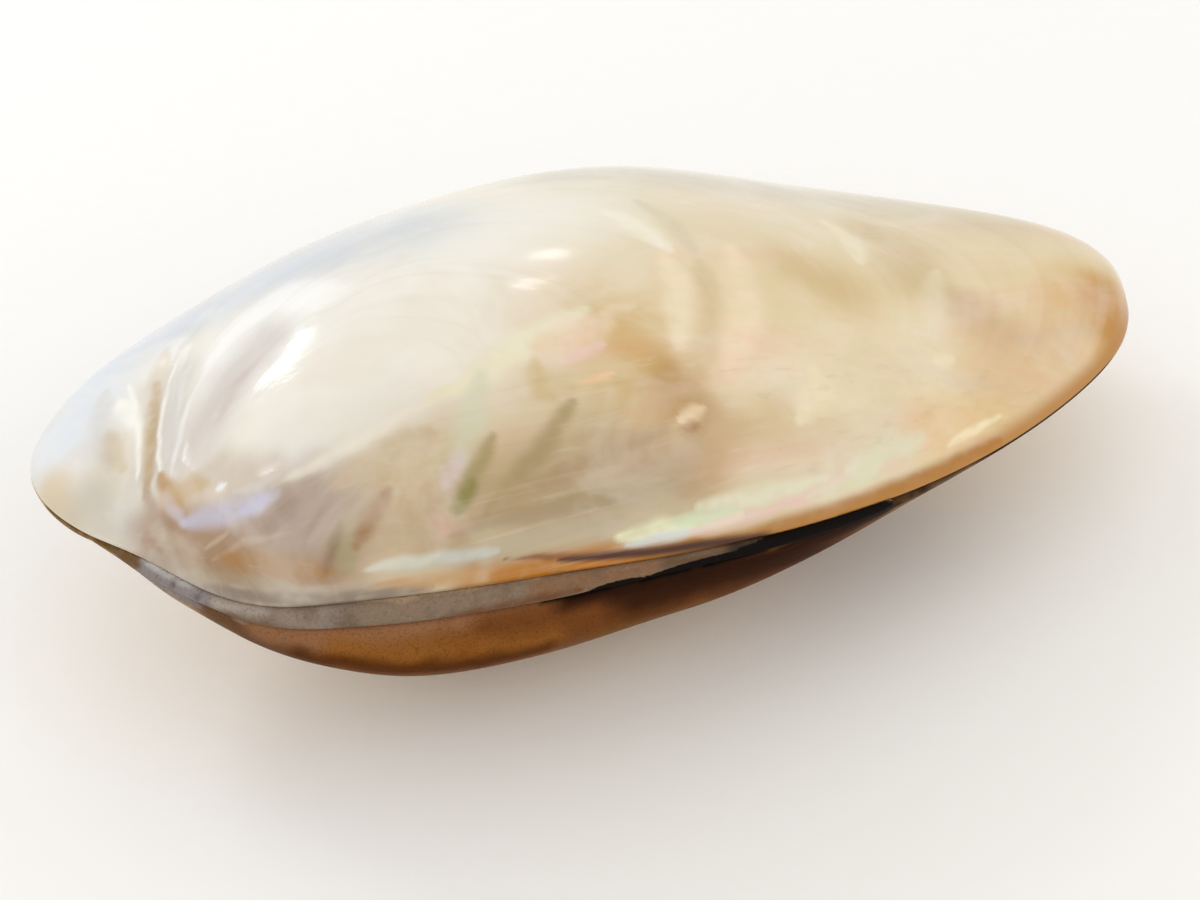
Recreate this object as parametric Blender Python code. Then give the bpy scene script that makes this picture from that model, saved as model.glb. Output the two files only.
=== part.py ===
"""A closed clam shell: the two polished valves of a freshwater mussel and their ligament.

The valves are thin, curved and mirror images of each other. They meet along their rims,
and the dried ligament fills the groove between them on the hinge side. The pair lies on
the lower valve. Lengths below are in millimetres and are turned into metres when each
mesh is made. Along a valve, a station is an angle: 0 at the front tip, 180 at the rear.
Across it, an angle runs from 0 at the hinge edge, over the crown, to 180 at the far edge.
"""
import math

import bmesh
import bpy
from mathutils import Vector

MM = 0.001

LENGTH = 160.0
GAP = 0.3

# Reach of a valve at its stations: towards the hinge, towards the far edge, and in height.
HINGE_REACH = {0: 0, 14: 9.4, 26: 18.4, 34: 27, 42: 34.5, 52: 38, 66: 40.5, 82: 42, 100: 41.5,
               120: 35.5, 140: 25.5, 160: 14, 180: 0}
FAR_REACH = {0: 0, 20: 12.2, 40: 25.2, 60: 33.5, 80: 41, 100: 44.5, 120: 36.5, 140: 24.5,
             160: 13, 180: 0}
CROWN_HEIGHT = {0: 0, 20: 3.4, 40: 10, 60: 22, 80: 25, 100: 21, 120: 12, 140: 7.5, 160: 5, 180: 0}

# The section leans back. Its far side thins to a wedge, and at the rear so does its hinge
# side, which makes the thin wing behind the ligament.
SECTION_LEAN = 4.0
WEDGE_POWER = 0.4
WEDGE_FROM = 60.0
WEDGE_TO = 160.0
WING_POWER = 0.8
WING_FRONT = 85.0
WING_REAR = 130.0
WING_FROM = 100.0
WING_TO = 20.0

# The beak is swollen and overhangs the hinge edge.
BEAK_STATION = 59.0
BEAK_HALF_LENGTH = 17.0
BEAK_ANGLE = 30.0
BEAK_HALF_ANGLE = 24.0
BEAK_OVERHANG = 3.0

# A furrow runs from the hinge edge over the front of the valve and fades on its crown.
FURROW_STATION = 25.0
FURROW_SWEEP = 19.0
FURROW_SWEEP_AT = 120.0
FURROW_HALF_WIDTH = 4.5
FURROW_DEPTH = 1.6
FURROW_END = 135.0
FURROW_FADE = 30.0

# The narrow strip behind the ligament is slightly hollow.
STRIP_STATION = 75.0
STRIP_HALF_LENGTH = 24.0
STRIP_ANGLE = 12.0
STRIP_HALF_ANGLE = 7.0
STRIP_HOLLOW = 1.0

# Broad shallow places: station, angle across, half length, half angle and depth.
HOLLOWS = ((70, 50, 6, 11, 0.7),
           (86, 33, 5, 8, 0.5),
           (51, 90, 7, 14, -0.6),
           (112, 75, 4, 30, 0.4))

# The shell wall is thick at the front and thin at the rear.
FRONT_RIM = 6.5
REAR_RIM = 2.5
FRONT_WALL = 7.0
REAR_WALL = 1.5
REFERENCE_REACH = 42.0

# Half the height of the hinge groove at its mouth.
GROOVE_MOUTH = {0: 0.15, 20: 0.15, 30: 1.4, 37: 1.0, 48: 1.9, 58: 2.3, 75: 2.1, 86: 1.3,
                104: 0.9, 114: 0.4, 125: 0.15, 180: 0.15}

# The ligament is a wedge in that groove.
LIGAMENT_FRONT = 25.0
LIGAMENT_REAR = 109.0
LIGAMENT_CLEARANCE = 0.35
LIGAMENT_DEPTH = 0.75
LIGAMENT_ROOT = 0.15
LIGAMENT_BULGE = 0.25
LIGAMENT_SIDES = (-1, -0.5, 0, 0.5, 1)
LIGAMENT_STATIONS = 60

STATIONS = 64
OUTER_ROWS = 24
INNER_ROWS = 8

# The pair rests tipped a little, rear down, on a small flat.
REST_PITCH = 4.0
REST_FLAT = 0.5

UPPER_COLOR = (0.87, 0.80, 0.68)
UPPER_ROUGHNESS = 0.22
LOWER_COLOR = (0.50, 0.33, 0.15)
LOWER_ROUGHNESS = 0.3
LIGAMENT_COLOR = (0.48, 0.42, 0.36)
LIGAMENT_ROUGHNESS = 0.85


def smooth_curve(knots, place):
    """Natural cubic spline through a table of places and values."""
    xs = list(knots)
    ys = list(knots.values())
    count = len(xs)
    gaps = [xs[i + 1] - xs[i] for i in range(count - 1)]
    bend = [0.0] * count
    slope = [0.0] * count
    for i in range(1, count - 1):
        rise = (ys[i + 1] - ys[i]) / gaps[i] - (ys[i] - ys[i - 1]) / gaps[i - 1]
        weight = 2 * (gaps[i - 1] + gaps[i]) - gaps[i - 1] * slope[i - 1]
        slope[i] = gaps[i] / weight
        bend[i] = (6 * rise - gaps[i - 1] * bend[i - 1]) / weight
    for i in range(count - 2, 0, -1):
        bend[i] -= slope[i] * bend[i + 1]
    i = max(k for k in range(count - 1) if xs[k] <= place)
    a = (xs[i + 1] - place) / gaps[i]
    b = 1 - a
    curve = ((a ** 3 - a) * bend[i] + (b ** 3 - b) * bend[i + 1]) * gaps[i] ** 2 / 6
    return a * ys[i] + b * ys[i + 1] + curve


def straight_curve(knots, place):
    """Straight lines between the values of a table."""
    xs = list(knots)
    i = max(k for k in range(len(xs) - 1) if xs[k] <= place)
    share = (place - xs[i]) / (xs[i + 1] - xs[i])
    return knots[xs[i]] * (1 - share) + knots[xs[i + 1]] * share


def swell(distance):
    """Bell curve that is 1 at no distance."""
    return math.exp(-distance * distance)


def ramp(value, start, end):
    """0 before start, 1 after end, eased between."""
    share = min(max((value - start) / (end - start), 0.0), 1.0)
    return share * share * (3 - 2 * share)


def rim_width(station):
    rear = (1 - math.cos(math.radians(station))) / 2
    return FRONT_RIM + (REAR_RIM - FRONT_RIM) * rear


def section(station, across, hinge, far, crown):
    """Height and place across a valve, from its reach at one station."""
    turn = math.radians(across)
    wing = ramp(station, WING_FRONT, WING_REAR) * ramp(-across, -WING_FROM, -WING_TO)
    round_power = 1 + WEDGE_POWER * ramp(across, WEDGE_FROM, WEDGE_TO) + WING_POWER * wing
    lean = SECTION_LEAN * math.sin(math.radians(station)) * math.sin(turn) ** 2
    y = (far - hinge) / 2 - (far + hinge) / 2 * math.cos(turn) - lean
    z = crown * max(math.sin(turn), 0.0) ** round_power
    return y, z


def outer_point(station, across):
    """A point on the outside of the upper valve."""
    hinge = smooth_curve(HINGE_REACH, station)
    far = smooth_curve(FAR_REACH, station)
    crown = smooth_curve(CROWN_HEIGHT, station)
    y, z = section(station, across, hinge, far, crown)
    x = -LENGTH / 2 * math.cos(math.radians(station))
    y -= (BEAK_OVERHANG * swell((station - BEAK_STATION) / BEAK_HALF_LENGTH)
          * swell((across - BEAK_ANGLE) / BEAK_HALF_ANGLE))
    y += (STRIP_HOLLOW * swell((station - STRIP_STATION) / STRIP_HALF_LENGTH)
          * swell((across - STRIP_ANGLE) / STRIP_HALF_ANGLE))
    furrow = FURROW_STATION + FURROW_SWEEP * (across / FURROW_SWEEP_AT) ** 3
    fade = ramp(across, 2, 25) * (1 - ramp(across, FURROW_END - FURROW_FADE, FURROW_END))
    z -= FURROW_DEPTH * fade * swell((station - furrow) / FURROW_HALF_WIDTH)
    for place, angle, half_length, half_angle, depth in HOLLOWS:
        z -= depth * swell((station - place) / half_length) * swell((across - angle) / half_angle)
    mouth = straight_curve(GROOVE_MOUTH, station)
    near = ((1 + math.cos(math.radians(across))) / 2) ** 4
    z += GAP / 2 + (mouth - GAP / 2) * near
    return Vector((x, y, z))


def inner_point(station, across):
    """A point on the inside of the upper valve."""
    rim = rim_width(station)
    share = 1 - rim / REFERENCE_REACH
    rear = (1 - math.cos(math.radians(station))) / 2
    wall = FRONT_WALL + (REAR_WALL - FRONT_WALL) * rear
    crown = smooth_curve(CROWN_HEIGHT, station)
    if crown > 0:
        crown = crown * crown / (crown + wall)
    hinge = smooth_curve(HINGE_REACH, station) * share
    far = smooth_curve(FAR_REACH, station) * share
    y, z = section(station, across, hinge, far, crown)
    x = -(LENGTH / 2 - rim) * math.cos(math.radians(station))
    return Vector((x, y, z + GAP / 2))


def add_sheet(mesh, rows, point):
    """A grid bent over a valve and closed at both tips. Gives back its border edges."""
    grid = bmesh.ops.create_grid(mesh, x_segments=STATIONS, y_segments=rows, size=0.5)
    for vert in grid["verts"]:
        station = min(max((vert.co.x + 0.5) * 180, 0.0), 180.0)
        across = min(max((vert.co.y + 0.5) * 180, 0.0), 180.0)
        vert.co = point(station, across) * MM
    bmesh.ops.remove_doubles(mesh, verts=grid["verts"], dist=0.01 * MM)
    kept = [vert for vert in grid["verts"] if vert.is_valid]
    return {edge for vert in kept for edge in vert.link_edges if edge.is_boundary}


def cut_rest_flat(mesh, down):
    """Grind the flat that the lower valve lies on, square to the way down."""
    lowest = max(vert.co.dot(down) for vert in mesh.verts)
    geometry = mesh.verts[:] + mesh.edges[:] + mesh.faces[:]
    bmesh.ops.bisect_plane(mesh, geom=geometry, dist=0.001 * MM, plane_no=down, clear_outer=True,
                           plane_co=down * (lowest - REST_FLAT * MM))
    bmesh.ops.holes_fill(mesh, edges=[edge for edge in mesh.edges if edge.is_boundary])


def valve_mesh():
    """The upper valve: outside, inside and the rim between them."""
    mesh = bmesh.new()
    border = add_sheet(mesh, OUTER_ROWS, outer_point) | add_sheet(mesh, INNER_ROWS, inner_point)
    bmesh.ops.bridge_loops(mesh, edges=list(border))
    return mesh


def ligament_mesh():
    """A wedge along the hinge groove, bulging a little at its mouth."""
    mesh = bmesh.new()
    rings = []
    for step in range(LIGAMENT_STATIONS + 1):
        station = LIGAMENT_FRONT + (LIGAMENT_REAR - LIGAMENT_FRONT) * step / LIGAMENT_STATIONS
        edge = outer_point(station, 0)
        root = inner_point(station, 0)
        mouth = edge.z - LIGAMENT_CLEARANCE
        depth = LIGAMENT_DEPTH * (mouth - LIGAMENT_ROOT) / mouth
        back = edge.z + (root.z - edge.z) * depth - LIGAMENT_CLEARANCE
        profile = [(-LIGAMENT_BULGE * mouth * (1 - side * side), mouth * side) for side in LIGAMENT_SIDES]
        inward = (root - edge) * Vector((1, 1, 0))
        width = inward.length
        profile += [(depth * width, back), (depth * width, -back)]
        inward.normalize()
        ring = []
        for run, height in profile:
            place = Vector((edge.x, edge.y, 0)) + inward * run
            place.z = height
            ring.append(mesh.verts.new(place * MM))
        rings.append(ring)
    count = len(rings[0])
    for first, second in zip(rings, rings[1:]):
        for i in range(count):
            j = (i + 1) % count
            mesh.faces.new((first[i], first[j], second[j], second[i]))
    mesh.faces.new(rings[0])
    mesh.faces.new(rings[-1])
    return mesh


def make_material(name, color, roughness):
    """An sRGB colour and a roughness on a Principled surface."""
    material = bpy.data.materials.new(name)
    material.use_nodes = True
    surface = material.node_tree.nodes["Principled BSDF"]
    linear = [channel ** 2.2 for channel in color]
    surface.inputs["Base Color"].default_value = (*linear, 1)
    surface.inputs["Roughness"].default_value = roughness
    surface.inputs["Metallic"].default_value = 0
    return material


def add_piece(name, mesh, carrier, color, roughness):
    """Turn a mesh into a named, smooth-shaded piece under the carrier."""
    bmesh.ops.recalc_face_normals(mesh, faces=mesh.faces)
    data = bpy.data.meshes.new(name)
    mesh.to_mesh(data)
    mesh.free()
    data.shade_smooth()
    data.materials.append(make_material(name, color, roughness))
    piece = bpy.data.objects.new(name, data)
    piece.parent = carrier
    bpy.context.collection.objects.link(piece)
    return piece


def rest_on_origin(carrier, pieces):
    """Move the carrier so that the pieces rest on the ground, centred on the origin."""
    bpy.context.view_layer.update()
    points = [piece.matrix_world @ vert.co for piece in pieces for vert in piece.data.vertices]
    low = [min(point[axis] for point in points) for axis in range(3)]
    high = [max(point[axis] for point in points) for axis in range(3)]
    carrier.location = (-(low[0] + high[0]) / 2, -(low[1] + high[1]) / 2, -low[2])
    bpy.context.view_layer.update()


def main():
    for old in list(bpy.data.objects):
        bpy.data.objects.remove(old)
    carrier = bpy.data.objects.new("resting_pair", None)
    bpy.context.collection.objects.link(carrier)
    carrier.rotation_euler = (0, math.radians(REST_PITCH), 0)
    down = carrier.rotation_euler.to_matrix().inverted() @ Vector((0, 0, -1))

    upper = valve_mesh()
    lower = valve_mesh()
    bmesh.ops.scale(lower, vec=(1, 1, -1), verts=lower.verts)
    cut_rest_flat(lower, down)
    pieces = [add_piece("upper_valve", upper, carrier, UPPER_COLOR, UPPER_ROUGHNESS),
              add_piece("lower_valve", lower, carrier, LOWER_COLOR, LOWER_ROUGHNESS),
              add_piece("ligament", ligament_mesh(), carrier, LIGAMENT_COLOR, LIGAMENT_ROUGHNESS)]
    rest_on_origin(carrier, pieces)


main()
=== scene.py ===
"""Dresses the closed mussel shell: folded, growth-lined mother of pearl over two valves."""
import math

import bpy
import numpy as np
from mathutils import Matrix, Vector, kdtree, noise


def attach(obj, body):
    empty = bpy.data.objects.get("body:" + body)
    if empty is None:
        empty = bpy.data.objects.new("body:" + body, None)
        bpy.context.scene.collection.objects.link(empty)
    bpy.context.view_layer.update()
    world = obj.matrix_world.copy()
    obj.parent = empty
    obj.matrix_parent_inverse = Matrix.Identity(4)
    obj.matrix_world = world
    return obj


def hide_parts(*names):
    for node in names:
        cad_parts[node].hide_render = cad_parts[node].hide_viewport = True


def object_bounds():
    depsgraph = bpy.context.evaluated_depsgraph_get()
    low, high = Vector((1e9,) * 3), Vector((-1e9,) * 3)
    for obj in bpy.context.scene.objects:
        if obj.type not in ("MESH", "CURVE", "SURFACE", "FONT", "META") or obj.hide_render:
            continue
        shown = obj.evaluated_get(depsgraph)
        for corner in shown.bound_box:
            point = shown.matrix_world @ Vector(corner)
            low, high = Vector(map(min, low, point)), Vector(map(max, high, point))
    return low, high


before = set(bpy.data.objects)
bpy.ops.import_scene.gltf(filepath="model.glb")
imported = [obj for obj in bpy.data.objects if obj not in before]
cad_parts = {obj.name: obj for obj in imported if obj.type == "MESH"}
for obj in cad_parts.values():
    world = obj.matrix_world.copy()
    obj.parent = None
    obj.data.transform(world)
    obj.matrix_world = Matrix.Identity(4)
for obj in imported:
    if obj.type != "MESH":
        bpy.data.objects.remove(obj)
# The photograph's colours are plain sRGB, so the picture is shown without a filmic curve.
bpy.context.scene.view_settings.view_transform = "Standard"
cad_low, cad_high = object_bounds()

# The camera. The photograph was taken from above the hinge side with a long lens, the front
# tip of the shell to the left. It is 1200 by 900 pixels, and every pixel named below is one
# of those.
MM = 0.001
PHOTO_WIDTH = 1200
PHOTO_HEIGHT = 900
SENSOR_WIDTH = 36.0
LENS = 89.4
CAMERA_PLACE = Vector((-106.5, -313.9, 276.2)) * MM
CAMERA_AZIMUTH = -18.67
CAMERA_ELEVATION = 38.87
CAMERA_ROLL = -2.76
NEAREST_SEEN = 10 * MM

photo_camera = bpy.data.objects.new("photo_camera", bpy.data.cameras.new("photo_camera"))
bpy.context.scene.collection.objects.link(photo_camera)
bpy.context.scene.camera = photo_camera
photo_camera.data.sensor_width = SENSOR_WIDTH
photo_camera.data.lens = LENS
photo_camera.data.clip_start = NEAREST_SEEN
photo_camera.location = CAMERA_PLACE
camera_turn = (Matrix.Rotation(math.radians(CAMERA_AZIMUTH), 4, "Z")
               @ Matrix.Rotation(math.radians(90 - CAMERA_ELEVATION), 4, "X")
               @ Matrix.Rotation(math.radians(CAMERA_ROLL), 4, "Z"))
photo_camera.rotation_euler = camera_turn.to_euler()


# The table. A plain pale sheet, wide enough to fill the view from any side.
def linear(code, alpha=1.0):
    """An sRGB hex colour as the linear values that Blender's sockets take."""
    channels = [int(code[i:i + 2], 16) / 255 for i in (1, 3, 5)]
    return tuple(c / 12.92 if c < 0.04045 else ((c + 0.055) / 1.055) ** 2.4
                 for c in channels) + (alpha,)


def node(tree, kind, settings=None, **links):
    """Add a node. Settings name its properties, links its inputs, by name or as i and a number."""
    made = tree.nodes.new(kind)
    for name, value in (settings or {}).items():
        setattr(made, name, value)
    for name, value in links.items():
        key = name.replace("_", " ")
        by_number = key[0] == "i" and key[1:].isdigit()
        socket = made.inputs[int(key[1:]) if by_number else key]
        if isinstance(value, bpy.types.NodeSocket):
            tree.links.new(value, socket)
        else:
            socket.default_value = value
    return made


def new_surface(name):
    """An empty material with a Principled surface. Gives back the material, tree and surface."""
    material = bpy.data.materials.new(name)
    material.use_nodes = True
    tree = material.node_tree
    return material, tree, tree.nodes["Principled BSDF"]


def tint(tree, base, mask, color, blend="MIX"):
    """Lay a colour over another where the mask is on, or multiply it in."""
    return node(tree, "ShaderNodeMix", {"data_type": "RGBA", "blend_type": blend}, i0=mask, i6=base,
                i7=linear(color)).outputs[2]


FLOOR_SIZE = 3.0
FLOOR_DROP = 0.2 * MM
bpy.ops.object.select_all(action="DESELECT")
bpy.ops.mesh.primitive_plane_add(size=FLOOR_SIZE, location=(0, 0, -FLOOR_DROP))
table_top = bpy.context.object
table_top.name = "table_top"
table_paint, tree, surface = new_surface("matt_white_card")
grain = node(tree, "ShaderNodeTexNoise", Scale=900.0, Detail=3.0)
card_color = tint(tree, linear("#F8F8F7"), grain.outputs["Fac"], "#FBFBFB")
tree.links.new(card_color, surface.inputs["Base Color"])
surface.inputs["Roughness"].default_value = 0.7
table_top.data.materials.append(table_paint)

# The upper valve. One half of a freshwater mussel's shell, ground and polished down to the
# mother of pearl. It grew outwards from its beak in thin layers, so growth lines run round
# it, and folds fan out from the beak over its front.
WELD_GAP = 0.005 * MM
QUAD_FACE_ANGLE = 60.0
QUAD_SHAPE_ANGLE = 120.0


def copy_of_node(name, new_name):
    """A quad mesh made from a CAD node's triangles, to be worked further."""
    bpy.ops.object.select_all(action="DESELECT")
    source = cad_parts[name]
    source.select_set(True)
    bpy.context.view_layer.objects.active = source
    bpy.ops.object.duplicate()
    piece = bpy.context.object
    piece.name = new_name
    piece.parent = None
    piece.data.materials.clear()
    bpy.ops.object.mode_set(mode="EDIT")
    bpy.ops.mesh.select_all(action="SELECT")
    bpy.ops.mesh.remove_doubles(threshold=WELD_GAP)
    bpy.ops.mesh.tris_convert_to_quads(face_threshold=math.radians(QUAD_FACE_ANGLE),
                                       shape_threshold=math.radians(QUAD_SHAPE_ANGLE))
    bpy.ops.object.mode_set(mode="OBJECT")
    return piece


def apply_modifier(piece, kind, **settings):
    """Add a modifier, set it and apply it."""
    modifier = piece.modifiers.new(kind.lower(), kind)
    for name, value in settings.items():
        setattr(modifier, name, value)
    bpy.context.view_layer.objects.active = piece
    bpy.ops.object.modifier_apply(modifier=modifier.name)


# Edges sharper than the rim angle are rim. The outer faces from the fine limits towards the
# front tip and the hinge carry folds and small strokes, so they are halved once more.
RIM_ANGLE = 50.0
RIM_CREASE = 0.6
RIM_STEPS = 8
VALVE_LEVELS = 2
FINE_FRONT = -28.0 * MM
FINE_SIDE = 12.0 * MM
OUTSIDE_TURN = 0.05


def smooth_valve(piece, outward):
    """Crease the rim, round the faces and halve those that carry detail. Gives back the rim."""
    bpy.ops.object.mode_set(mode="EDIT")
    bpy.ops.mesh.select_mode(type="EDGE")
    bpy.ops.mesh.select_all(action="DESELECT")
    bpy.ops.mesh.edges_select_sharp(sharpness=math.radians(RIM_ANGLE))
    bpy.ops.transform.edge_crease(value=RIM_CREASE)
    bpy.ops.object.mode_set(mode="OBJECT")
    ends = [[piece.data.vertices[corner].co for corner in edge.vertices]
            for edge in piece.data.edges if edge.select]
    rim = [start.lerp(end, step / RIM_STEPS) for start, end in ends for step in range(RIM_STEPS)]
    apply_modifier(piece, "SUBSURF", levels=VALVE_LEVELS, render_levels=VALVE_LEVELS)
    for face in piece.data.polygons:
        near = face.center.x < FINE_FRONT or face.center.y < FINE_SIDE
        face.select = near and face.normal.z * outward > OUTSIDE_TURN
    bpy.ops.object.mode_set(mode="EDIT")
    bpy.ops.mesh.select_mode(type="FACE")
    bpy.ops.mesh.subdivide(number_cuts=1, smoothness=1.0)
    bpy.ops.object.mode_set(mode="OBJECT")
    bpy.ops.object.shade_smooth()
    return rim


BEAK = Vector((-62.0, -30.0)) * MM
BEARINGS = 361
SMOOTHINGS = 12


def write_growth(piece, rim):
    """Store how far each point lies from the beak to the rim, its bearing, and its rim distance.

    growth is 0 at the beak and 1 at the rim, ray is the bearing in turns, and rim_mm is the
    distance to the rim in millimetres.
    """
    bearings = sorted((math.atan2(spot.y - BEAK.y, spot.x - BEAK.x), (spot.xy - BEAK).length)
                      for spot in rim)
    turns = np.linspace(-math.pi, math.pi, BEARINGS)
    reaches = np.interp(turns, *zip(*bearings), period=math.tau)
    for smoothing in range(SMOOTHINGS):
        reaches = (np.roll(reaches, 1) + reaches * 2 + np.roll(reaches, -1)) / 4
    tree_of_rim = kdtree.KDTree(len(rim))
    for number, spot in enumerate(rim):
        tree_of_rim.insert(spot, number)
    tree_of_rim.balance()
    facts = {"growth": [], "ray": [], "rim_mm": []}
    for vertex in piece.data.vertices:
        away = vertex.co.xy - BEAK
        bearing = math.atan2(away.y, away.x)
        facts["growth"].append(away.length / np.interp(bearing, turns, reaches))
        facts["ray"].append(bearing / math.tau)
        facts["rim_mm"].append(tree_of_rim.find(vertex.co)[2] / MM)
    for name, values in facts.items():
        piece.data.attributes.new(name, "FLOAT", "POINT").data.foreach_set("value", values)


def photo_ray(pixel):
    """The direction from the camera through a pixel of the photograph."""
    focal = LENS / SENSOR_WIDTH * PHOTO_WIDTH
    across = (pixel[0] - PHOTO_WIDTH / 2) / focal
    down = (pixel[1] - PHOTO_HEIGHT / 2) / focal
    return (camera_turn.to_3x3() @ Vector((across, -down, -1))).normalized()


NEARER_PASSES = 4


def path_on(node_name, pixels):
    """Where pixels of the photograph meet a CAD node, or come nearest to it along its outline."""
    places = []
    for pixel in pixels:
        look = photo_ray(pixel)
        met, place, out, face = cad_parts[node_name].ray_cast(CAMERA_PLACE, look)
        if not met:
            reach = CAMERA_PLACE.length
            for nearer in range(NEARER_PASSES):
                passing = CAMERA_PLACE + look * reach
                met, place, out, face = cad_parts[node_name].closest_point_on_mesh(passing)
                reach = (place - CAMERA_PLACE).dot(look)
        places.append(place)
    return places


# Noise waves per metre: for the wavering edges of strokes, and for the mottling of marks. The
# seed gives every run the same wavering.
WAVER_PER_METRE = 350
MOTTLE_PER_METRE = 700
NOISE_SEED = 1
noise.seed_set(NOISE_SEED)


def places_of(piece, waver_mm=0.0):
    """The piece's points as rows, moved a little by noise so that strokes get natural edges."""
    spots = np.empty(len(piece.data.vertices) * 3)
    piece.data.vertices.foreach_get("co", spots)
    spots = spots.reshape(-1, 3)
    if waver_mm:
        spots = spots + waver_mm * MM * np.array(
            [noise.noise_vector(vertex.co * WAVER_PER_METRE) for vertex in piece.data.vertices])
    return spots


# How much of its half width a stroke fades over, to each side of its edge. Grounds are soft.
# Streaks are crisper, and narrow to their ends along a half sine wave that lacks its first and
# last part, TAPER_START of its length each.
SOFT = 0.9
STREAK = 0.75
TAPER_START = 0.05


def stroke(spots, path, half_width, softness):
    """How strongly a stroke along a path covers each point: 1 on it, 0 outside its soft edge.

    A streak also thins towards its ends.
    """
    path = [np.array(place) for place in path]
    steps = list(zip(path, path[1:] or path))
    lengths = [np.linalg.norm(end - start) for start, end in steps]
    nearest = np.full(len(spots), np.inf)
    for number, (start, end) in enumerate(steps):
        along = end - start
        share = np.clip((spots - start) @ along / max(along @ along, 1e-12), 0, 1)
        gap = np.linalg.norm(spots - start - share[:, None] * along, axis=1)
        if softness == STREAK:
            run = (sum(lengths[:number]) + share * lengths[number]) / max(sum(lengths), 1e-9)
            gap = gap / np.sqrt(np.sin(math.pi * (TAPER_START + (1 - 2 * TAPER_START) * run)))
        nearest = np.minimum(nearest, gap)
    inside = (1 + softness) * half_width * MM - nearest
    fade = np.clip(inside / (2 * softness * half_width * MM), 0, 1)
    return fade * fade * (3 - 2 * fade)


LEAST_FOLD = 0.001


def press_folds(piece, node_name, folds):
    """Raise ridges and press furrows: photo path, half width in mm, height in mm."""
    spots = places_of(piece)
    heights = np.zeros(len(spots))
    for pixels, half_width, height in folds.values():
        heights += height * stroke(spots, path_on(node_name, pixels), half_width, SOFT)
    for name, side in (("ridges", 1), ("furrows", -1)):
        group = piece.vertex_groups.new(name=name)
        for index in np.flatnonzero(heights * side > LEAST_FOLD):
            group.add([int(index)], float(heights[index] * side), "REPLACE")
        apply_modifier(piece, "DISPLACE", direction="NORMAL", mid_level=0.0, strength=side * MM,
                       vertex_group=name)


MOTTLE_MEAN = 0.95
MOTTLE_SWING = 0.4
MOTTLE_LEAST = 0.7
VALVE_WAVER = 0.7
LIGAMENT_WAVER = 0.6


def brush_colors(piece, node_name, base, grounds, marks, waver_mm=VALVE_WAVER):
    """Brush soft grounds, then crisper and mottled marks, of colour on a base.

    Each is a photo path, half width in mm, colour and strength.
    """
    colors = np.tile(np.array(linear(base)), (len(piece.data.vertices), 1))
    mottle = np.array([noise.noise(vertex.co * MOTTLE_PER_METRE) for vertex in piece.data.vertices])
    mottle = np.clip(MOTTLE_MEAN + MOTTLE_SWING * mottle, MOTTLE_LEAST, 1)[:, None]
    for strokes, softness, waver in ((grounds, SOFT, waver_mm), (marks, STREAK, waver_mm / 2)):
        spots = places_of(piece, waver)
        for pixels, half_width, shade, strength in strokes.values():
            cover = stroke(spots, path_on(node_name, pixels), half_width, softness)
            cover = cover[:, None] * strength
            if softness == STREAK:
                cover = cover * mottle
            colors = colors * (1 - cover) + np.array(linear(shade)) * cover
    brushed = piece.data.color_attributes.new("brushed", "FLOAT_COLOR", "POINT")
    brushed.data.foreach_set("color", colors.ravel())


def brush_mask(piece, node_name, name, strokes, softness):
    """Store how strongly strokes cover each point: photo path, half width in mm, strength."""
    spots = places_of(piece)
    cover = np.zeros(len(spots))
    for pixels, half_width, strength in strokes.values():
        cover = np.maximum(cover, strength * stroke(spots, path_on(node_name, pixels), half_width,
                                                    softness))
    piece.data.attributes.new(name, "FLOAT", "POINT").data.foreach_set("value", cover)


def math_node(tree, operation, first, second=0.0, third=0.0):
    """One step of arithmetic."""
    return node(tree, "ShaderNodeMath", {"operation": operation}, i0=first, i1=second,
                i2=third).outputs[0]


def between(tree, value, start, end, low=0.0, high=1.0):
    """Eased step from low at start to high at end."""
    return node(tree, "ShaderNodeMapRange", {"interpolation_type": "SMOOTHSTEP"}, Value=value,
                From_Min=start, From_Max=end, To_Min=low, To_Max=high).outputs[0]


def fact(tree, name, kind="Fac"):
    """A value, or a colour, stored on the piece's points."""
    return node(tree, "ShaderNodeAttribute", {"attribute_name": name}).outputs[kind]


def noise_at(tree, place, scale, detail, roughness=0.5, distortion=0.0, dimensions="3D"):
    """Noise from 0 to 1, about 0.5 on average."""
    made = node(tree, "ShaderNodeTexNoise", {"noise_dimensions": dimensions}, Vector=place,
                Scale=scale, Detail=detail, Roughness=roughness, Distortion=distortion)
    return made.outputs["Fac"]


def shell_lines(tree, round_beak, to_rim, detail, roughness, distortion):
    """Noise that follows the shell's growth: so many waves round the beak, and out to the rim."""
    waves = node(tree, "ShaderNodeCombineXYZ",
                 X=math_node(tree, "MULTIPLY", fact(tree, "ray"), round_beak),
                 Y=math_node(tree, "MULTIPLY", fact(tree, "growth"), to_rim)).outputs[0]
    return noise_at(tree, waves, 1.0, detail, roughness, distortion, "2D")


def drawn_out(tree, place, turn, waves, detail, roughness, distortion):
    """Noise drawn out along the hinge: turned so many degrees, waves per metre on each axis."""
    mapped = node(tree, "ShaderNodeMapping", Vector=place, Rotation=(0, 0, math.radians(turn)),
                  Scale=waves).outputs[0]
    return noise_at(tree, mapped, 1.0, detail, roughness, distortion)


def only_where(tree, lines, mask):
    """Flatten noise to its middle value where the mask is off."""
    return math_node(tree, "MULTIPLY_ADD", math_node(tree, "SUBTRACT", lines, 0.5), mask, 0.5)


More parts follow.
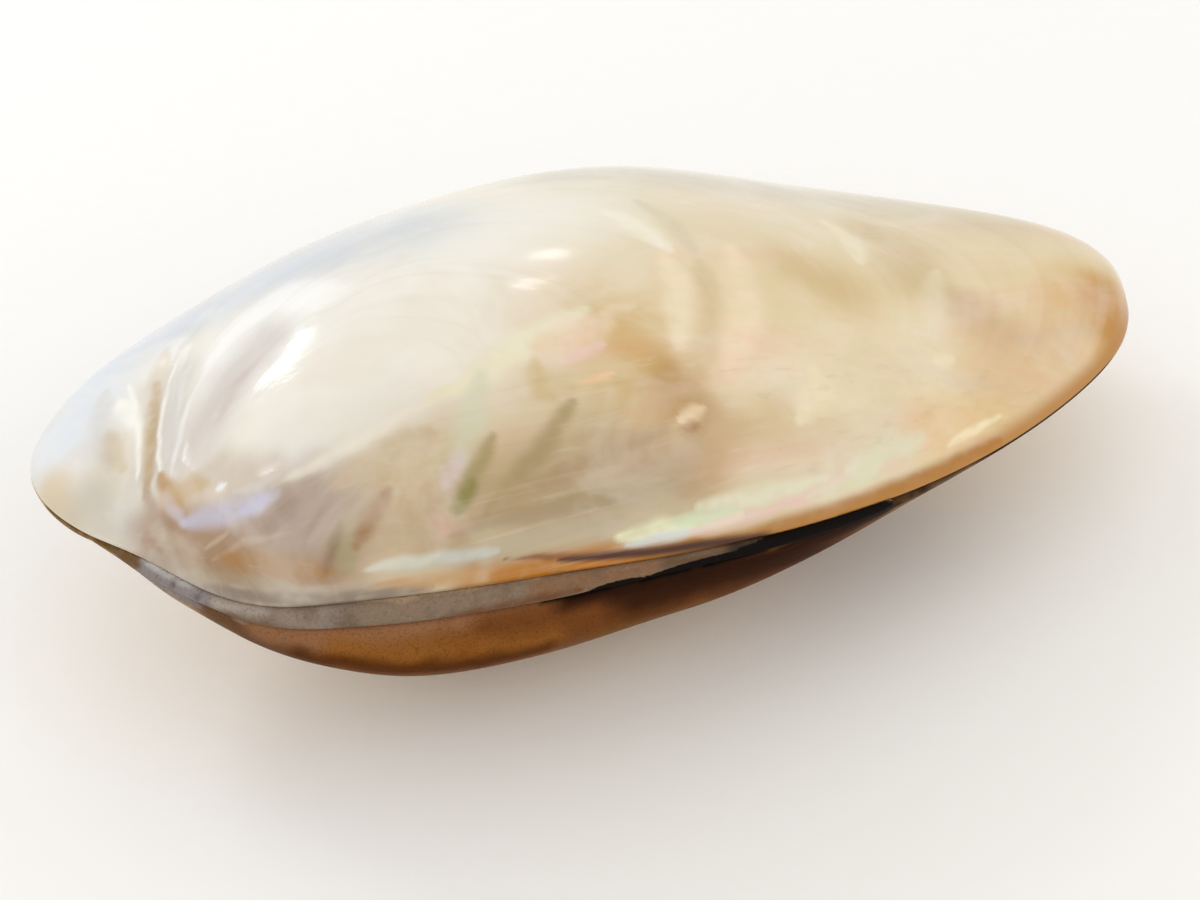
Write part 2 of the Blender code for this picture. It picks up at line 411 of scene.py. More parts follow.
# Where the folds run, read off the photograph: path, half width and height in mm.
UPPER_FOLDS = {
    "valley behind the lobe": (((112, 388), (104, 425), (108, 465), (118, 492)), 2.4, -0.28),
    "first ridge": (((128, 384), (139, 407), (140, 433), (137, 463)), 1.1, 0.14),
    "gold furrow": (((165, 366), (156, 402), (151, 443), (146, 478), (143, 500), (155, 527)),
                    1.4, -0.2),
    "second ridge": (((184, 350), (170, 384), (161, 415), (160, 443), (158, 482)), 1.0, 0.1),
    "grey furrow": (((190, 372), (176, 420), (168, 466)), 1.3, -0.12),
    "third ridge": (((205, 375), (190, 400), (179, 430), (172, 475)), 1.0, 0.07),
    "gold corner": (((165, 480), (177, 502)), 1.8, -0.25),
    "rosy furrow": (((265, 342), (224, 390), (197, 440)), 3.0, -0.16),
    "lilac ridge": (((205, 500), (235, 498), (268, 489)), 2.4, 0.13),
    "furrow below the lilac": (((192, 524), (230, 519), (265, 511)), 2.2, -0.15),
    "upper beak streak": (((212, 543), (224, 534)), 0.7, 0.04),
    "lower beak streak": (((215, 558), (250, 540), (285, 536)), 0.8, 0.04),
    "green notch": (((331, 544), (329, 560)), 0.9, -0.3),
    "brown notch": (((372, 510), (360, 534)), 1.4, -0.35),
    "long ray": (((275, 489), (330, 460), (382, 430), (430, 403), (470, 381), (515, 353)),
                 2.6, 0.3),
    "olive notch": (((478, 475), (455, 508)), 1.6, -0.08),
    "first grey notch": (((549, 431), (528, 461), (497, 486)), 2.4, -0.12),
    "second grey notch": (((597, 457), (570, 466), (549, 480)), 2.0, -0.15),
    "hook": (((530, 372), (540, 390), (552, 397)), 2.2, -0.08),
    "arc": (((708, 275), (714, 330), (698, 352)), 2.8, -0.04),
    "pit": (((691, 427),), 1.2, -0.25),
    "hinge groove": (((450, 537), (501, 523), (597, 505), (675, 489)), 0.9, -0.12),
}

# Colours of the nacre, from the broad soft grounds to the small flecks, with painted light and
# shade among them.
UPPER_GROUNDS = {
    # Partly painted sheen: the crown's pale nacre is whitened where its broad soft glow lies.
    "white crown": (((240, 350), (330, 300), (440, 250), (560, 225)), 14, "#FAFAF6", 0.95),
    "cream crown": (((320, 445), (400, 350), (470, 290)), 12, "#FCFAF6", 0.9),
    # Painted shade: the far rim is greyed where, seen at a grazing angle, it reflects the darker
    # room.
    "grey far edge": (((560, 174), (700, 180), (800, 193), (900, 207), (1000, 220)),
                      7, "#B9AE99", 0.6),
    # Painted reflection: the blue far edge and the blue by the crown are the cool window mirrored
    # in the polished crown, and the pale lobe is its pale colour tinted by the same painted
    # reflection.
    "blue far edge": (((128, 350), (215, 295), (300, 256), (395, 226)), 9, "#D2DAE6", 0.8),
    "blue by the crown": (((175, 330), (260, 285), (330, 257)), 3.5, "#D0D9E8", 0.65),
    "pale lobe": (((60, 440), (85, 400), (110, 360)), 8, "#E3E9F2", 0.95),
    "lobe corner": (((52, 485), (72, 508)), 2.5, "#DCC7A0", 0.7),
    "lobe foot": (((95, 500), (125, 522), (148, 545)), 4, "#D2CFC8", 0.85),
    "gold middle": (((640, 330), (700, 420)), 14, "#E0C592", 0.7),
    "gold rear": (((820, 330), (960, 330), (1060, 320)), 26, "#ECD7AE", 0.85),
    "cream rear": (((760, 380), (850, 390), (930, 370)), 9, "#F4E6CC", 0.85),
    "tan ray": (((260, 535), (350, 505), (440, 475)), 7, "#C9B08D", 0.85),
    "cream below the crown": (((290, 450), (335, 438), (390, 405)), 5, "#F0EEE8", 0.8),
    "tan middle": (((430, 520), (540, 490), (640, 460)), 11, "#D0BB94", 0.75),
    "dark tan middle": (((500, 530), (590, 495), (670, 458)), 7, "#A28A64", 0.8),
    "tan step": (((330, 530), (400, 538), (460, 530)), 5, "#BEA78B", 0.6),
    "gold patch": (((620, 325), (640, 360), (650, 400)), 5, "#D8B474", 0.7),
    "small gold patch": (((672, 385), (680, 405)), 3.5, "#BA924A", 0.8),
    # Painted shade: the rosy folds and the grey folds are the shade in the soft valleys between the
    # folds, over rosy and grey nacre.
    "rosy folds": (((265, 340), (230, 382), (190, 450)), 4, "#CFC4BC", 0.85),
    "grey folds": (((175, 380), (165, 430), (150, 470)), 3.5, "#CECAC1", 0.8),
    "beak": (((165, 535), (200, 558), (250, 545)), 5, "#A0754F", 0.95),
    "beak foot": (((178, 548), (232, 566), (330, 574)), 4, "#A98B6C", 0.9),
    "mauve beak": (((280, 515), (300, 530), (322, 500)), 5, "#A48C80", 0.9),
    "tan behind the folds": (((215, 472), (262, 476)), 3, "#D0C2B4", 0.75),
    "rear gold": (((805, 270), (835, 285)), 5, "#D8BB84", 0.75),
    "rear gold dot": (((880, 235), (905, 250), (915, 280)), 5, "#CFB482", 0.6),
    "rear rose": (((965, 308), (1000, 330)), 4, "#CDB08C", 0.7),
    "rear tan": (((735, 452), (765, 470)), 5, "#CBAC86", 0.75),
    "low rear tan": (((780, 412), (830, 450)), 4, "#D8BE96", 0.6),
    "low rear cream": (((760, 480), (820, 470), (900, 435)), 4, "#E8DCC6", 0.8),
    "low rear gold": (((930, 430), (1000, 415)), 4, "#ECCF9C", 0.75),
    "tail peach": (((1005, 365), (1060, 340)), 7, "#E6C49C", 0.7),
    "tail gold": (((1095, 300), (1105, 325)), 6.5, "#DDAC5C", 0.75),
    "tail amber": (((1110, 300), (1116, 325)), 4.5, "#C88E38", 0.9),
    "hinge cream": (((490, 545), (570, 535), (641, 528)), 2.4, "#CBBDA2", 0.85),
    "orange ground": (((475, 583), (540, 575), (600, 563), (700, 551)), 2.1, "#BE7C24", 0.95),
}
UPPER_MARKS = {
    # Painted shade in the valley behind the lobe.
    "valley grey": (((104, 392), (101, 430), (108, 468)), 1.7, "#D2CFCA", 0.6),
    "valley tan": (((110, 428), (114, 448), (122, 470)), 1.5, "#D4C29E", 0.6),
    "valley pale": (((126, 434), (130, 447), (134, 466)), 1.0, "#E6DED0", 0.85),
    # Painted highlights: the valley white and the three white ridge streaks below are light on the
    # crests of the folds.
    "valley white": (((119, 400), (128, 412), (133, 426)), 1.3, "#FAFAF4", 0.95),
    "first ridge": (((128, 384), (138, 408), (140, 433), (138, 463), (136, 482)),
                    0.5, "#FAF9F2", 0.95),
    "gold furrow top": (((166, 350), (160, 375), (155, 405)), 1.4, "#D2BF9A", 0.6),
    "gold furrow": (((157, 385), (153, 425), (149, 460), (145, 496)), 1.2, "#BFA272", 0.95),
    "furrow foot": (((145, 484), (152, 512), (162, 540), (176, 566)), 1.0, "#B8A28C", 0.9),
    "second ridge": (((184, 348), (171, 380), (162, 412), (160, 440), (159, 468), (162, 480)),
                     0.45, "#FAF8F2", 0.95),
    # Painted shade in the grey furrow.
    "grey furrow": (((176, 395), (170, 430), (166, 465)), 0.8, "#D2CCC4", 0.8),
    "third ridge": (((205, 374), (190, 400), (180, 430), (174, 458), (171, 478)),
                    0.45, "#F0EDE8", 0.85),
    # Painted shade down the rosy valley beside the crown's reflection, over rosy nacre.
    "rosy side": (((262, 352), (232, 390), (214, 425)), 0.8, "#CDBCB0", 0.6),
    "gold corner": (((160, 474), (169, 491), (180, 506)), 1.2, "#B98C48", 0.9),
    "gold spread": (((168, 492), (184, 490), (206, 484)), 1.9, "#CDAF80", 0.7),
    "lilac line": (((164, 490), (172, 508), (184, 526)), 0.8, "#D6CEDA", 0.6),
    "lilac": (((184, 522), (212, 515), (245, 508), (276, 494)), 1.8, "#CBC8DE", 0.85),
    "blue lilac": (((240, 511), (256, 505), (268, 496)), 1.0, "#CDCDEC", 0.8),
    # Painted highlight along the top of the lilac ridge.
    "white above the lilac": (((235, 493), (262, 487), (286, 473)), 0.7, "#E2E0DE", 0.6),
    # Painted highlight: a small bluish glint.
    "blue fleck": (((217, 490), (226, 483)), 0.6, "#FAFCFF", 0.98),
    "upper beak streak": (((206, 548), (216, 540), (228, 532)), 0.4, "#CDB8A4", 0.6),
    "lower beak streak": (((212, 560), (245, 542), (290, 533)), 0.5, "#C8B09A", 0.6),
    "amber streak": (((222, 556), (250, 562), (285, 568), (330, 571)), 1.7, "#AE8148", 0.85),
    "pale foot": (((150, 553), (175, 572), (200, 586), (240, 598)), 1.2, "#B5A99C", 0.8),
    "grey green foot": (((190, 574), (235, 583), (290, 586)), 1.0, "#AEA088", 0.7),
    "grey edge": (((205, 588), (240, 596), (300, 600), (360, 597), (430, 587)),
                  1.4, "#8F8176", 0.95),
    # Painted light: the pale rim above the ligament lifts the shade on the rim's down-facing edge.
    "rim above the ligament": (((220, 598), (260, 606), (300, 608), (340, 605), (400, 598),
                                (450, 592), (500, 584), (550, 576), (600, 568)),
                               0.5, "#CDBBA6", 0.9),
    "brown notch": (((388, 488), (374, 512), (355, 546)), 1.3, "#A0723F", 0.8),
    "green step": (((345, 518), (340, 548), (350, 570)), 1.5, "#A9A078", 0.75),
    "dark step": (((340, 522), (334, 545), (326, 572)), 0.7, "#94775F", 0.7),
    "tan below the ray": (((335, 484), (380, 460), (430, 434)), 2.6, "#CAB08C", 0.7),
    # Painted highlight along the crest of the long ray.
    "ray light": (((275, 487), (330, 459), (382, 429), (430, 403)), 1.0, "#F4EEE2", 0.8),
    "yellow ray": (((423, 404), (452, 388), (469, 381)), 0.9, "#F4ECCE", 0.7),
    "yellow green ray": (((455, 391), (505, 358), (547, 332), (585, 309)), 1.9, "#F6F3DA", 0.95),
    "green fall": (((480, 376), (470, 420), (457, 475)), 1.9, "#DDE0CC", 0.7),
    "olive notch": (((494, 434), (486, 452), (471, 482), (448, 522)), 1.1, "#9E955E", 0.7),
    "olive core": (((476, 478), (462, 500), (452, 514)), 1.0, "#8A8240", 0.8),
    "lilac by the notch": (((462, 452), (454, 468), (444, 488)), 1.2, "#DCCCD8", 0.6),
    "rose step": (((449, 517), (442, 534)), 1.8, "#DDB8AA", 0.6),
    "first grey notch": (((572, 402), (548, 440), (524, 474), (488, 512)), 1.5, "#A48F62", 0.7),
    "second grey notch": (((665, 428), (611, 453), (560, 474), (510, 502)), 1.4, "#A48E64", 0.6),
    "short dash": (((630, 447), (655, 437)), 0.9, "#A88A5A", 0.7),
    "gold fleck": (((570, 309), (584, 303), (600, 299)), 1.5, "#DCCDA8", 0.35),
    "peach shelf": (((535, 348), (570, 338), (608, 322)), 2.6, "#F3DAC0", 0.85),
    "hook": (((534, 360), (535, 376), (543, 392), (556, 400)), 1.3, "#D4BA80", 0.5),
    "hook shade": (((540, 370), (550, 382), (572, 388)), 2.0, "#D6BE92", 0.4),
    "pink shelf": (((560, 362), (585, 352), (604, 344)), 0.9, "#F5D5D0", 0.8),
    "peach dash": (((580, 384), (597, 378), (613, 371)), 0.6, "#FBD2AE", 0.95),
    # Painted highlight: a small cream glint.
    "cream fleck": (((602, 315), (616, 309), (634, 305)), 1.0, "#F6EBD6", 0.45),
    # Painted highlight: a cream glint.
    "cream spark": (((680, 420), (703, 408)), 1.1, "#FAE8C8", 0.75),
    "brown pit": (((684, 429), (698, 425)), 0.8, "#A8701F", 0.9),
    # Painted highlight: the first arc.
    "first arc": (((606, 211), (636, 226), (668, 249)), 1.9, "#FFFAEE", 0.85),
    "grey arc": (((636, 200), (670, 222), (694, 252)), 1.5, "#D2C7B0", 0.4),
    # The cream arc, the peach arc and the far cream arc are growth arcs, lightened partly with
    # painted highlights.
    "cream arc": (((664, 252), (682, 290), (680, 345)), 2.3, "#FAEACE", 0.9),
    "tan arc": (((700, 262), (714, 320), (698, 372)), 2.2, "#D2BB94", 0.4),
    "peach arc": (((733, 248), (745, 310), (730, 370)), 2.6, "#FBE8CC", 0.9),
    "far cream arc": (((824, 222), (852, 241), (861, 263)), 1.6, "#F8ECD4", 0.9),
    "rear cream arc": (((936, 272), (934, 300), (926, 332)), 1.8, "#F2E4C8", 0.6),
    # Painted highlight: a glint at the rear.
    "rear spark": (((936, 362), (954, 358)), 1.0, "#FFF4D8", 0.6),
    "low cream fleck": (((815, 372), (822, 390), (800, 420)), 2.0, "#FAECD0", 0.85),
    "hinge groove": (((450, 537), (501, 523), (597, 505), (675, 489)), 0.8, "#AE9A84", 0.6),
    # Painted reflection: the blue and green strips by the hinge are the pale floor mirrored in the
    # shoulder above the hinge.
    "blue by the hinge": (((380, 568), (430, 560), (497, 550)), 1.1, "#D2DADC", 0.7),
    "green by the hinge": (((368, 570), (400, 562), (440, 556)), 0.9, "#DCDFD0", 0.75),
    "pale hinge line": (((230, 586), (310, 589), (400, 580)), 0.6, "#BCAC9C", 0.7),
    "peach band": (((375, 584), (450, 580), (530, 571)), 1.1, "#CCA478", 0.9),
    "orange band": (((495, 577), (540, 570), (570, 565), (620, 558), (700, 546)),
                    2.0, "#BC7A1A", 0.97),
    "orange rim": (((575, 569), (620, 563), (670, 557)), 0.8, "#CC7C1E", 0.95),
    # Painted shade: a brown line where the gap under the rim lies.
    "brown line": (((505, 559), (555, 557), (605, 554), (655, 549)), 0.45, "#7E4A22", 0.8),
    "brown rear edge": (((670, 551), (740, 540), (800, 523), (860, 505), (930, 476), (1000, 440)),
                        1.3, "#9C6426", 0.9),
    "pearl cream": (((700, 506), (760, 497), (825, 480)), 1.5, "#EEF0DC", 0.8),
    "pearl green": (((620, 537), (680, 527), (740, 515)), 1.4, "#F6FBDC", 0.9),
    "pearl aqua": (((670, 523), (706, 517), (735, 510)), 1.1, "#D4E8D0", 0.65),
    "pearl blue": (((625, 545), (668, 538), (700, 531)), 0.8, "#D6E6F2", 0.8),
    "pearl rose": (((690, 534), (732, 522), (775, 511)), 1.1, "#F2D6D6", 0.75),
    "pearl peach": (((764, 512), (816, 494), (856, 470)), 1.0, "#F2D0CE", 0.65),
    "pearl lime": (((810, 498), (850, 484), (890, 466)), 1.3, "#E8ECD4", 0.6),
    "rear lime": (((850, 470), (885, 455), (922, 436)), 2.0, "#EAEDD6", 0.7),
    "rear peach": (((880, 472), (905, 460)), 1.1, "#F4D4C4", 0.6),
    # Painted highlight: a golden glint near the rear rim.
    "rear gold spark": (((948, 446), (967, 433), (1000, 417)), 0.6, "#FFF4D0", 0.95),
}

# A red-brown line of painted shade runs along the hinge, in the gap under the rim, over the amber
# of the rim.
UPPER_GAP_SHADE = {
    "red brown line": (((560, 560), (600, 557), (650, 552), (700, 545), (755, 538), (825, 522)),
                       0.7, 0.95),
}

# The broad lobe and the valley behind it are duller than the rest.
UPPER_DULL = {
    "lobe": (((50, 470), (80, 420), (115, 375)), 7, 1.0),
    "folds": (((115, 390), (115, 430), (130, 480)), 3, 1.0),
    "later folds": (((160, 380), (155, 430), (150, 490), (175, 520)), 3, 0.8),
    "lobe foot": (((85, 495), (115, 505), (150, 545)), 4, 1.0),
    "beak": (((190, 550), (260, 555), (320, 540)), 4, 0.8),
}

upper = copy_of_node("upper_valve", "upper_valve_dressed")
upper_rim = smooth_valve(upper, 1)
press_folds(upper, "upper_valve", UPPER_FOLDS)
write_growth(upper, upper_rim)
brush_colors(upper, "upper_valve", "#F0E6D2", UPPER_GROUNDS, UPPER_MARKS)
brush_mask(upper, "upper_valve", "dull", UPPER_DULL, SOFT)
brush_mask(upper, "upper_valve", "hinge_line", UPPER_GAP_SHADE, STREAK)


# Mother of pearl: thin layers of aragonite. Cream with gold and grey clouds, a soft shine
# under a clear polished surface, and faint pink and green where the layers crop out, away
# from the even white crown. The layers take up a little of the light, blue the most.
nacre, tree, surface = new_surface("polished_mother_of_pearl")
CROWN = (-25 * MM, 2 * MM, 48 * MM)
CROWN_FADE = (18 * MM, 42 * MM)
ABSORBED = "#F4F2EE"

# Where the patterns come in, from and to: across the shell, along it, and in from the rim.
GROWTH_ACROSS = (-34 * MM, -16 * MM)
GROWTH_ALONG = (-66 * MM, -50 * MM)
HINGE_LINES_ACROSS = (-16 * MM, -30 * MM)
HINGE_LINES_ALONG = (-45 * MM, -25 * MM)
PLAY_ALONG = (-52 * MM, -30 * MM)
AMBER_ALONG = (-30 * MM, 20 * MM)
AMBER_RIM_MM = (3.4, 0.5)

place_of = node(tree, "ShaderNodeTexCoord").outputs["Object"]
parts_of = node(tree, "ShaderNodeSeparateXYZ", Vector=place_of)
along, across = parts_of.outputs["X"], parts_of.outputs["Y"]
off_hinge = math_node(tree, "MULTIPLY", between(tree, across, *GROWTH_ACROSS),
                      between(tree, along, *GROWTH_ALONG))
near_hinge = math_node(tree, "MULTIPLY", between(tree, across, *HINGE_LINES_ACROSS),
                       between(tree, along, *HINGE_LINES_ALONG))
from_crown = node(tree, "ShaderNodeVectorMath", {"operation": "DISTANCE"}, i0=place_of,
                  i1=CROWN).outputs["Value"]
off_crown = between(tree, from_crown, *CROWN_FADE)
growth_lines = shell_lines(tree, round_beak=4.0, to_rim=34.0, detail=4.0, roughness=0.55,
                           distortion=0.4)
growth_lines = only_where(tree, growth_lines, off_hinge)
ray_lines = shell_lines(tree, round_beak=70.0, to_rim=3.0, detail=4.0, roughness=0.6,
                        distortion=0.5)
hinge_lines = drawn_out(tree, place_of, turn=-3, waves=(25, 700, 700), detail=4.0, roughness=0.6,
                        distortion=0.4)
hinge_lines = only_where(tree, hinge_lines, near_hinge)
clouds = noise_at(tree, place_of, scale=55.0, detail=4.0, roughness=0.55, distortion=0.6)
brushed = fact(tree, "brushed", "Color")
color = tint(tree, brushed, between(tree, clouds, 0.5, 0.75, 0.0, 0.16), "#CFAE74")
color = tint(tree, color, between(tree, clouds, 0.5, 0.3, 0.0, 0.25), "#FFFCF4")
color = tint(tree, color, between(tree, growth_lines, 0.5, 0.75, 0.0, 0.09), "#FFFCF4")
color = tint(tree, color, between(tree, growth_lines, 0.5, 0.25, 0.0, 0.08), "#B99B6A")
color = tint(tree, color, between(tree, ray_lines, 0.55, 0.8, 0.0, 0.07), "#FFFFFF")
color = tint(tree, color, between(tree, hinge_lines, 0.52, 0.75, 0.0, 0.15), "#FFFAF0")
color = tint(tree, color, between(tree, hinge_lines, 0.48, 0.25, 0.0, 0.16), "#A88C68")
play = drawn_out(tree, place_of, turn=-8, waves=(20, 64, 64), detail=3.0, roughness=0.5,
                 distortion=1.6)
play_color = node(tree, "ShaderNodeValToRGB", Fac=play)
for position, shade in ((0.3, "#FFD2CC"), (0.42, "#FFFBF4"), (0.5, "#EDF8D6"), (0.58, "#FFFBF4"),
                        (0.7, "#DCE8FA")):
    stop = play_color.color_ramp.elements.new(position)
    stop.color = linear(shade)
# The ramp's own black and white ends come out.
for end in (-1, 0):
    play_color.color_ramp.elements.remove(play_color.color_ramp.elements[end])
play_strength = math_node(tree, "MULTIPLY", math_node(tree, "MULTIPLY_ADD", off_crown, 0.16, 0.06),
                          between(tree, along, *PLAY_ALONG))
color = node(tree, "ShaderNodeMix", {"data_type": "RGBA", "blend_type": "MULTIPLY"},
             i0=play_strength, i6=color, i7=play_color.outputs["Color"]).outputs[2]
rim_mm = fact(tree, "rim_mm")
amber_rim = math_node(tree, "MULTIPLY", between(tree, rim_mm, *AMBER_RIM_MM, 0.0, 0.9),
                      between(tree, along, *AMBER_ALONG))
color = tint(tree, color, amber_rim, "#BC8234")
# Painted shade of the hinge gap, laid on as a red-brown line.
color = tint(tree, color, fact(tree, "hinge_line"), "#3E1002")
color = tint(tree, color, 1.0, ABSORBED, "MULTIPLY")
tree.links.new(color, surface.inputs["Base Color"])
height = math_node(tree, "MULTIPLY", growth_lines, 0.06)
height = math_node(tree, "MULTIPLY_ADD", hinge_lines, 0.06, height)
height = math_node(tree, "MULTIPLY_ADD", clouds, 0.15, height)
relief = node(tree, "ShaderNodeBump", Strength=0.5, Distance=MM, Height=height).outputs[0]
tree.links.new(relief, surface.inputs["Normal"])
tree.links.new(relief, surface.inputs["Coat Normal"])
gloss = between(tree, fact(tree, "dull"), 0.1, 0.8, 0.13, 0.5)
tree.links.new(gloss, surface.inputs["Roughness"])
surface.inputs["Specular IOR Level"].default_value = 0.4
surface.inputs["Coat Weight"].default_value = 0.12
surface.inputs["Coat Roughness"].default_value = 0.3
upper.data.materials.append(nacre)
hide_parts("upper_valve")
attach(upper, "root")


# The lower valve. The other half of the shell, which mirrors the upper one. Its side
# towards the hinge is amber to dark brown, darkened further with painted shade.
# Partly painted shade: the amber side, dark foot, dark seam side and dark rear darken the amber
# valve where shade falls on it, and the light seam side and amber glow are painted light on its lit
# bands.
LOWER_GROUNDS = {
    "amber side": (((300, 645), (420, 655), (560, 625), (700, 590), (800, 560), (900, 515)), 16,
                   "#6E3A0A", 0.97),
    "brown front": (((212, 612), (240, 632), (275, 650), (300, 660)), 3, "#64452B", 0.9),
    "light seam side": (((262, 630), (300, 636), (340, 638), (400, 632), (455, 620)),
                        2.3, "#94694A", 0.9),
    "amber glow": (((340, 650), (400, 656), (450, 647), (500, 650), (545, 642)),
                   2.4, "#905C26", 0.85),
    "dark foot": (((300, 656), (340, 664), (400, 671), (450, 668), (500, 660), (545, 649)),
                  1.5, "#562C08", 0.9),
    "dark seam side": (((570, 600), (620, 592), (700, 574), (800, 547), (880, 514)), 2,
                       "#260C01", 0.95),
    "dark rear": (((640, 600), (720, 578), (800, 556), (900, 510), (1000, 450), (1100, 373)), 3.5,
                  "#2C1203", 0.9),
    "amber rear foot": (((600, 634), (660, 617), (700, 604)), 1.4, "#7A5018", 0.7),
}
LOWER_MARKS = {
    "front sliver": (((50, 508), (100, 545), (136, 566)), 2.6, "#85633A", 1.0),
    "front grey": (((142, 575), (165, 589), (198, 606)), 1.4, "#857C7E", 0.85),
    # Painted highlight: a whitish smear of light on the beak.
    "white smear": (((232, 618), (246, 625)), 0.5, "#A08A7C", 0.6),
    "black seam": (((545, 601), (595, 588), (650, 576), (700, 564), (765, 549)),
                   1.05, "#030100", 1.0),
    "dark rear seam": (((780, 548), (850, 524), (890, 508), (960, 468), (1020, 430)),
                       0.9, "#200B02", 0.9),
}
lower = copy_of_node("lower_valve", "lower_valve_dressed")
lower_rim = smooth_valve(lower, -1)
write_growth(lower, lower_rim)
brush_colors(lower, "lower_valve", "#D9C09A", LOWER_GROUNDS, LOWER_MARKS)

# Amber shell: the same nacre with the brown outer layers left on it, worn smooth. Browner
# towards the seam, partly with painted shade, with fine growth lines and a softer shine.
amber, tree, surface = new_surface("amber_shell")
place_of = node(tree, "ShaderNodeTexCoord").outputs["Object"]
growth_lines = shell_lines(tree, round_beak=5.0, to_rim=45.0, detail=5.0, roughness=0.65,
                           distortion=0.3)
clouds = noise_at(tree, place_of, scale=90.0, detail=4.0, roughness=0.55, distortion=0.6)
grit = noise_at(tree, place_of, scale=3200.0, detail=3.0, roughness=0.7)
brushed = fact(tree, "brushed", "Color")
color = tint(tree, brushed, between(tree, clouds, 0.5, 0.8, 0.0, 0.5), "#C79A62", "MULTIPLY")
color = tint(tree, color, between(tree, growth_lines, 0.5, 0.25, 0.0, 0.15), "#B08A5C", "MULTIPLY")
color = tint(tree, color, between(tree, grit, 0.52, 0.3, 0.0, 0.4), "#1E0C02")
tree.links.new(color, surface.inputs["Base Color"])
height = math_node(tree, "MULTIPLY", growth_lines, 0.10)
height = math_node(tree, "MULTIPLY_ADD", clouds, 0.3, height)
relief = node(tree, "ShaderNodeBump", Strength=0.6, Distance=MM, Height=height).outputs[0]
tree.links.new(relief, surface.inputs["Normal"])
surface.inputs["Roughness"].default_value = 0.45
surface.inputs["Specular IOR Level"].default_value = 0.02
lower.data.materials.append(amber)
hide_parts("lower_valve")
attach(lower, "root")


# The ligament. The tough strap that held the valves together, dried in its groove and sanded
# off level with the shell. It is a grey pad in front of the beaks, a pale neck between them,
# and behind them a gritty grey-brown band whose lower edge is black.
LIGAMENT_GROUNDS = {
    "grey pad": (((145, 566), (170, 582), (200, 598)), 3, "#918A8A", 0.95),
    "pale neck": (((222, 603), (260, 609)), 1.2, "#B0A59C", 0.85),
    "grey run": (((290, 612), (330, 614)), 2.4, "#95867C", 0.85),
    "dark run": (((340, 618), (352, 616)), 1.6, "#786A60", 0.7),
    "brown run": (((370, 612), (420, 608), (500, 597)), 2.4, "#8A7664", 0.85),
    "narrow run": (((540, 586), (600, 577), (650, 567)), 1.6, "#876448", 0.9),
    "brown rear": (((670, 561), (700, 557), (730, 551)), 1.2, "#644A34", 0.9),
    "dark rear": (((740, 550), (800, 532), (880, 505)), 1.6, "#241A14", 0.95),
}
LIGAMENT_MARKS = {
    "pale pad edge": (((142, 560), (170, 575), (198, 590)), 0.6, "#D2CECA", 0.85),
    "crack": (((172, 580), (178, 585)), 0.6, "#4B4542", 0.8),
    "dark neck": (((196, 593), (203, 600)), 0.7, "#4A413C", 0.8),
    "brown under the neck": (((206, 604), (235, 614), (270, 622), (320, 629)), 0.9, "#6E5340", 0.9),
    # Painted highlight: a whitish smear of light by the beak.
    "white smear": (((231, 606), (245, 614)), 0.35, "#B5A6A0", 0.85),
    # Painted light: the pale upper edge lifts the shade where the ligament meets the rim.
    "pale upper edge": (((290, 606), (400, 598), (500, 584), (575, 572)), 0.6, "#C0A688", 0.85),
    "pit": (((338, 622), (362, 624)), 0.7, "#665A50", 0.8),
    "brown lower edge": (((300, 628), (380, 624), (450, 616), (480, 611)), 0.8, "#80604A", 0.85),
    "red brown lower edge": (((440, 615), (500, 604), (580, 588)), 1.0, "#6E4222", 0.85),
    "brown front of the pad": (((90, 537), (108, 545), (125, 554), (140, 563)),
                               1.4, "#6E4E24", 1.0),
}
LIGAMENT_BLACK = {
    "thin black": (((540, 601), (575, 594), (610, 584)), 0.6, 1.0),
    "black start": (((580, 592), (610, 586), (645, 578)), 0.9, 1.0),
    "wide black": (((600, 588), (650, 576), (700, 563), (750, 551), (800, 536), (850, 520),
                    (885, 506)), 0.8, 1.0),
    "black rear": (((740, 550), (800, 533), (850, 518), (890, 503)), 1.1, 1.0),
}

# It is swollen to fill the gap that the CAD leaves, but not out past the CAD's hinge side.
LIGAMENT_LEVELS = 3
LIGAMENT_SWELL = 0.45 * MM
band = copy_of_node("ligament", "ligament_dressed")
apply_modifier(band, "SUBSURF", levels=LIGAMENT_LEVELS, render_levels=LIGAMENT_LEVELS)
apply_modifier(band, "DISPLACE", direction="NORMAL", mid_level=0.0, strength=LIGAMENT_SWELL)
for vertex in band.data.vertices:
    vertex.co.y = max(vertex.co.y, cad_low.y)
bpy.ops.object.shade_smooth()
brush_colors(band, "ligament", "#857463", LIGAMENT_GROUNDS, LIGAMENT_MARKS, LIGAMENT_WAVER)
brush_mask(band, "ligament", "black_edge", LIGAMENT_BLACK, STREAK)

# Dried ligament: tough protein sanded to a matt, gritty face. Dust sits in its pores, and
# pale and dark grains show.
dried, tree, surface = new_surface("dried_ligament")
place_of = node(tree, "ShaderNodeTexCoord").outputs["Object"]
grit = noise_at(tree, place_of, scale=2400.0, detail=3.0, roughness=0.7)
blotches = noise_at(tree, place_of, scale=330.0, detail=3.0)
brushed = fact(tree, "brushed", "Color")
color = tint(tree, brushed, between(tree, grit, 0.5, 0.3, 0.0, 0.4), "#5B4A3A")
color = tint(tree, color, between(tree, grit, 0.6, 0.8, 0.0, 0.35), "#CFC1AE")
color = tint(tree, color, between(tree, blotches, 0.5, 0.7, 0.0, 0.5), "#6E5A46")
charred = math_node(tree, "MULTIPLY_ADD", grit, 0.6, fact(tree, "black_edge"))
color = tint(tree, color, between(tree, charred, 0.62, 0.78), "#080403")
tree.links.new(color, surface.inputs["Base Color"])
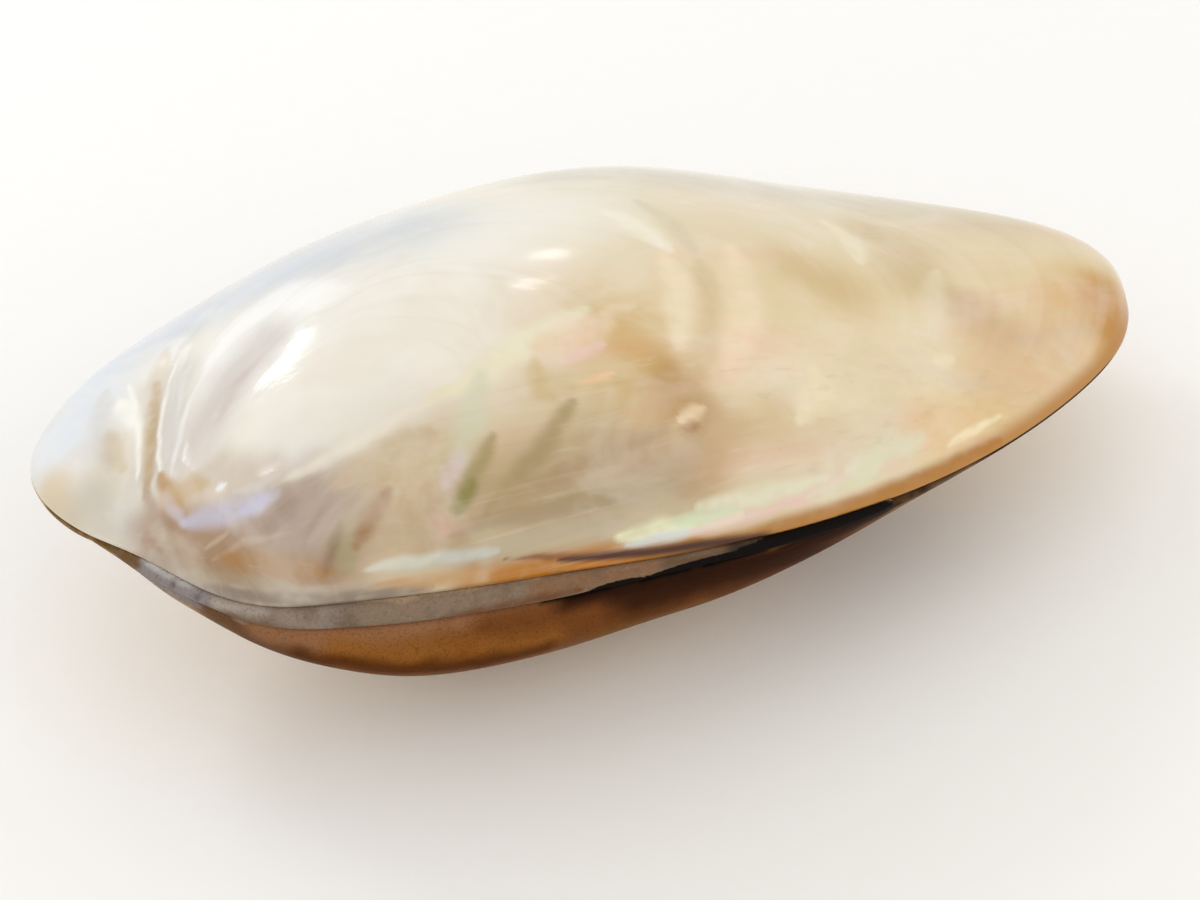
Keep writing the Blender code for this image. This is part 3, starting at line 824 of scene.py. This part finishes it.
relief = node(tree, "ShaderNodeBump", Strength=0.8, Distance=0.25 * MM, Height=grit).outputs[0]
tree.links.new(relief, surface.inputs["Normal"])
surface.inputs["Roughness"].default_value = 0.75
surface.inputs["Specular IOR Level"].default_value = 0.1
band.data.materials.append(dried)
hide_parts("ligament")
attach(band, "root")


# The light. A wide cool window stands behind the shell on the left. Two brighter panes above
# it make the reflection on the crown, and two small ones on the right make small glints. A
# pale warm room lights the rest.
def add_softbox(name, azimuth, elevation, distance, width, height, power, color, tilt=0.0):
    """A rectangular light that faces the shell: angles in degrees, sizes in metres, watts."""
    lamp = bpy.data.objects.new(name, bpy.data.lights.new(name, "AREA"))
    bpy.context.scene.collection.objects.link(lamp)
    lamp.data.shape = "RECTANGLE"
    lamp.data.size = width
    lamp.data.size_y = height
    lamp.data.energy = power
    lamp.data.color = linear(color)[:3]
    away = Vector((math.sin(math.radians(azimuth)) * math.cos(math.radians(elevation)),
                   math.cos(math.radians(azimuth)) * math.cos(math.radians(elevation)),
                   math.sin(math.radians(elevation))))
    lamp.location = away * distance
    facing = away.to_track_quat("Z", "Y").to_matrix() @ Matrix.Rotation(math.radians(tilt), 3, "Z")
    lamp.rotation_euler = facing.to_euler()


add_softbox("sky_window", -30, 20, 1.2, 1.1, 0.5, 2.4, "#D6E6FF")
add_softbox("bright_pane", -26, 36, 1.2, 0.32, 0.15, 1.45, "#F4F8FF", 17)
add_softbox("bright_pane_low", -34, 33, 1.2, 0.12, 0.06, 0.24, "#F4F8FF", 17)
add_softbox("far_pane_low", 27, 32, 1.2, 0.06, 0.02, 0.08, "#FFFFFF")
add_softbox("far_pane_high", 29, 41, 1.2, 0.06, 0.02, 0.08, "#FFFFFF")
add_softbox("room", 150, 35, 1.5, 1.2, 0.8, 3.0, "#FFEFDB")
world = bpy.data.worlds.new("pale_room")
bpy.context.scene.world = world
world.use_nodes = True
sky = world.node_tree.nodes["Background"]
sky.inputs["Color"].default_value = linear("#F9F7F3")
sky.inputs["Strength"].default_value = 0.92
